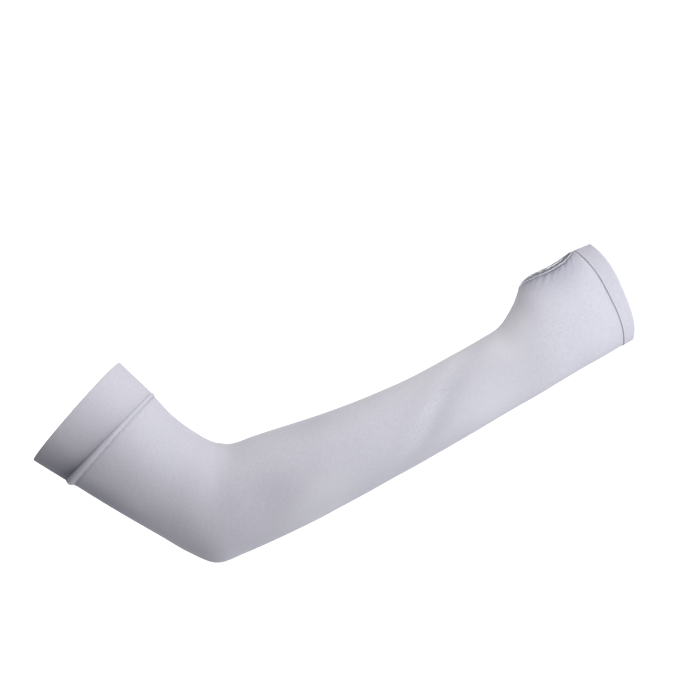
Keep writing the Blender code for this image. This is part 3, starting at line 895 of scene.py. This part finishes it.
# %% Sew along a path
def sew_along(name, path, out, stitch, count, slant, unevenness, seed):
    """A row of stitches along a closed path of points, as one plain mesh."""
    template = bpy.data.objects.new(name + "_one", stitch)
    route_mesh = bpy.data.meshes.new(name + "_route")
    route_mesh.from_pydata(path.tolist(), [(i, (i + 1) % len(path)) for i in range(len(path))], [])
    outward = route_mesh.attributes.new("out", "FLOAT_VECTOR", "POINT")
    outward.data.foreach_set("vector", out.astype(np.float32).ravel())
    route = bpy.data.objects.new(name + "_route", route_mesh)
    for each in (template, route):
        bpy.context.scene.collection.objects.link(each)
    modifier = route.modifiers.new("stitches", "NODES")
    modifier.node_group = stitch_row
    given = {"Stitch": template, "Count": count, "Slant": slant, "Unevenness": unevenness}
    given.update({"Seed": seed, "Thread": thread})
    for item in stitch_row.interface.items_tree:
        if item.in_out == "INPUT" and item.name in given:
            modifier[item.identifier] = given[item.name]
    evaluated = route.evaluated_get(bpy.context.evaluated_depsgraph_get())
    made = bpy.data.meshes.new_from_object(evaluated)
    made.name = name
    for each in (template, route):
        bpy.data.objects.remove(each)
    print(f"{name}: {count} stitches")
    return made


def ring_route(along, lift, points=240):
    """Points round the sleeve at one distance from the mouth, each with its direction away from the cloth."""
    angle = np.linspace(0, 2 * math.pi, points, endpoint=False)
    along = np.full(points, along)
    return cloth(along, angle, lift), cloth_normal(along, angle)


# %% Sew the three rows
link_path, link_out = ring_route(TUBE_START + 0.0005, CLOTH_WALL / 2)
link_stitch = stitch_mesh("link_stitch", length=0.0017, width=0.0004, height=0.0002)
link_row = {"count": 150, "slant": 0.9, "unevenness": 0.12, "seed": 3}
link_mesh = sew_along("linking_stitches", link_path, link_out, link_stitch, **link_row)
linking_stitches = add_piece("linking_stitches", link_mesh, thread, "edge_thread")

band_path, band_out = ring_route(LENGTH - BAND_WIDTH + 0.0002, BAND_WALL / 2 - 0.0001)
band_stitch = stitch_mesh("band_stitch", length=0.0013, width=0.0004, height=0.0002)
band_row = {"count": 140, "slant": 0.0, "unevenness": 0.06, "seed": 5}
chain_mesh = sew_along("band_stitches", band_path, band_out, band_stitch, **band_row)
band_stitches = add_piece("band_stitches", chain_mesh, thread, "edge_thread")

edge_path = bead_path[:-1] + bead_aside[:-1] * 0.0007
edge_stitch = stitch_mesh("edge_stitch", length=0.0019, width=0.00040, height=0.0007)
edge_row = {"count": 84, "slant": 1.3, "unevenness": 0.16, "seed": 7}
edge_mesh = sew_along("overlock_stitches", edge_path, bead_out[:-1], edge_stitch, **edge_row)
overlock_stitches = add_piece("overlock_stitches", edge_mesh, thread, "edge_thread")

# %% [markdown]
# ## The sleeve before it was worn
#
# The sleeve is knitted smaller than the arm and stretches over it.

# %% [markdown]
# ## The studio
#
# The photograph has strong, even light, with a soft side from the right, so the shape shows only in
# slow changes of tone. A pale sweep makes the floor and the backdrop in one, and a pale sky gives the
# even light. Large soft lights give the shape: a near one on the right is the strongest, one above
# the cuff is warmer, and the low ones are a little blue, as light from a studio floor is.


# %% Sweep the backdrop
def backdrop_mesh(front, back, low, high, width, bend, steps=16):
    """A floor from front to back that bends up into a wall."""
    turns = np.linspace(0, math.pi / 2, steps)
    corner = [(back - bend + bend * math.sin(t), low + bend - bend * math.cos(t)) for t in turns]
    profile = [(front, low), *corner, (back, high)]
    points = [(x, y, z) for y, z in profile for x in (-width / 2, width / 2)]
    faces = [(2 * i, 2 * i + 1, 2 * i + 3, 2 * i + 2) for i in range(len(profile) - 1)]
    mesh = bpy.data.meshes.new("backdrop")
    mesh.from_pydata(points, [], faces)
    mesh.shade_smooth()
    return mesh


sweep = backdrop_mesh(front=-2.6, back=2.2, low=-1.05, high=2.95, width=9.0, bend=0.5)
backdrop = bpy.data.objects.new("backdrop", sweep)
bpy.context.scene.collection.objects.link(backdrop)
paper = bpy.data.materials.new("matte_studio_paper")
paper.use_nodes = True
paper_shader = paper.node_tree.nodes["Principled BSDF"]
paper_shader.inputs["Base Color"].default_value = linear("#DCDCDE")
paper_shader.inputs["Roughness"].default_value = 0.95
paper_shader.inputs["Specular IOR Level"].default_value = 0.1
backdrop.data.materials.append(paper)

# %% Light the sweep
SKY_EVEN = 0.42
SKY_SIDE = 0.10
SLEEVE_MIDDLE = (0.12, 0, 0.1)
SLEEVE_LIGHT_SIZE = 0.8
SLEEVE_LIGHTS = (
    ("key", (0.62, -0.3, 0.3), 6.1, "#FAFEFF"),
    ("wide_key", (1.0, -0.7, 0.2), 2.4, "#FAFEFF"),
    ("front_light", (0.0, -1.2, 1.0), 2.3, "#FFFDF9"),
    ("top_light", (-0.3, 0.0, 1.1), 5.2, "#FFFCF6"),
    ("left_light", (-0.9, -0.3, 0.3), 1.6, "#FFFFFF"),
    ("low_light", (0.5, 0.3, -0.4), 1.2, "#F6F8FF"),
    ("low_front_light", (0.9, -0.9, -0.4), 1.0, "#F6F8FF"),
)
world = bpy.data.worlds.new("studio_sky")
world.use_nodes = True
bpy.context.scene.world = world
sky_tree = world.node_tree
direction = add_node(sky_tree, "ShaderNodeTexCoord").outputs["Generated"]
dot_product = {"operation": "DOT_PRODUCT"}
towards_key = add_node(sky_tree, "ShaderNodeVectorMath", dot_product, in_0=direction, in_1=(0.93, 0.0, 0.36))
sky_strength = maths(sky_tree, "MULTIPLY_ADD", towards_key.outputs["Value"], SKY_SIDE, SKY_EVEN)
sky_tree.links.new(sky_strength, sky_tree.nodes["Background"].inputs["Strength"])
sky_tree.nodes["Background"].inputs["Color"].default_value = linear("#FFFFFF")


def soft_light(name, place, target, size, power, tint):
    light = bpy.data.lights.new(name, "AREA")
    light.shape = "SQUARE"
    light.size = size
    light.energy = power
    light.color = linear(tint)[:3]
    lamp = bpy.data.objects.new(name, light)
    lamp.location = place
    lamp.rotation_euler = (Vector(target) - Vector(place)).to_track_quat("-Z", "Y").to_euler()
    lamp.visible_camera = False
    bpy.context.scene.collection.objects.link(lamp)
    return lamp


for name, place, power, tint in SLEEVE_LIGHTS:
    soft_light(name, place, SLEEVE_MIDDLE, SLEEVE_LIGHT_SIZE, power, tint)
soft_light("backdrop_light", (0.05, 1.7, -0.2), (0.05, 2.2, -0.2), 2.6, 34, "#FFFFFF")
bpy.context.scene.view_settings.view_transform = "Standard"
bpy.context.scene.view_settings.look = "None"
print("lights:", len(bpy.data.lights))

# %% Aim the camera
TARGET = Vector((0.0948, 0.0, 0.1126))
DISTANCE = 1.19
ELEVATION = math.radians(8)
lens = bpy.data.cameras.new("camera")
lens.lens = 85
lens.sensor_width = 36
camera = bpy.data.objects.new("camera", lens)
camera.location = TARGET + Vector((0, -math.cos(ELEVATION), math.sin(ELEVATION))) * DISTANCE
camera.rotation_euler = (TARGET - camera.location).to_track_quat("-Z", "Y").to_euler()
bpy.context.scene.collection.objects.link(camera)
bpy.context.scene.camera = camera
print("camera at", [round(x, 4) for x in camera.location])
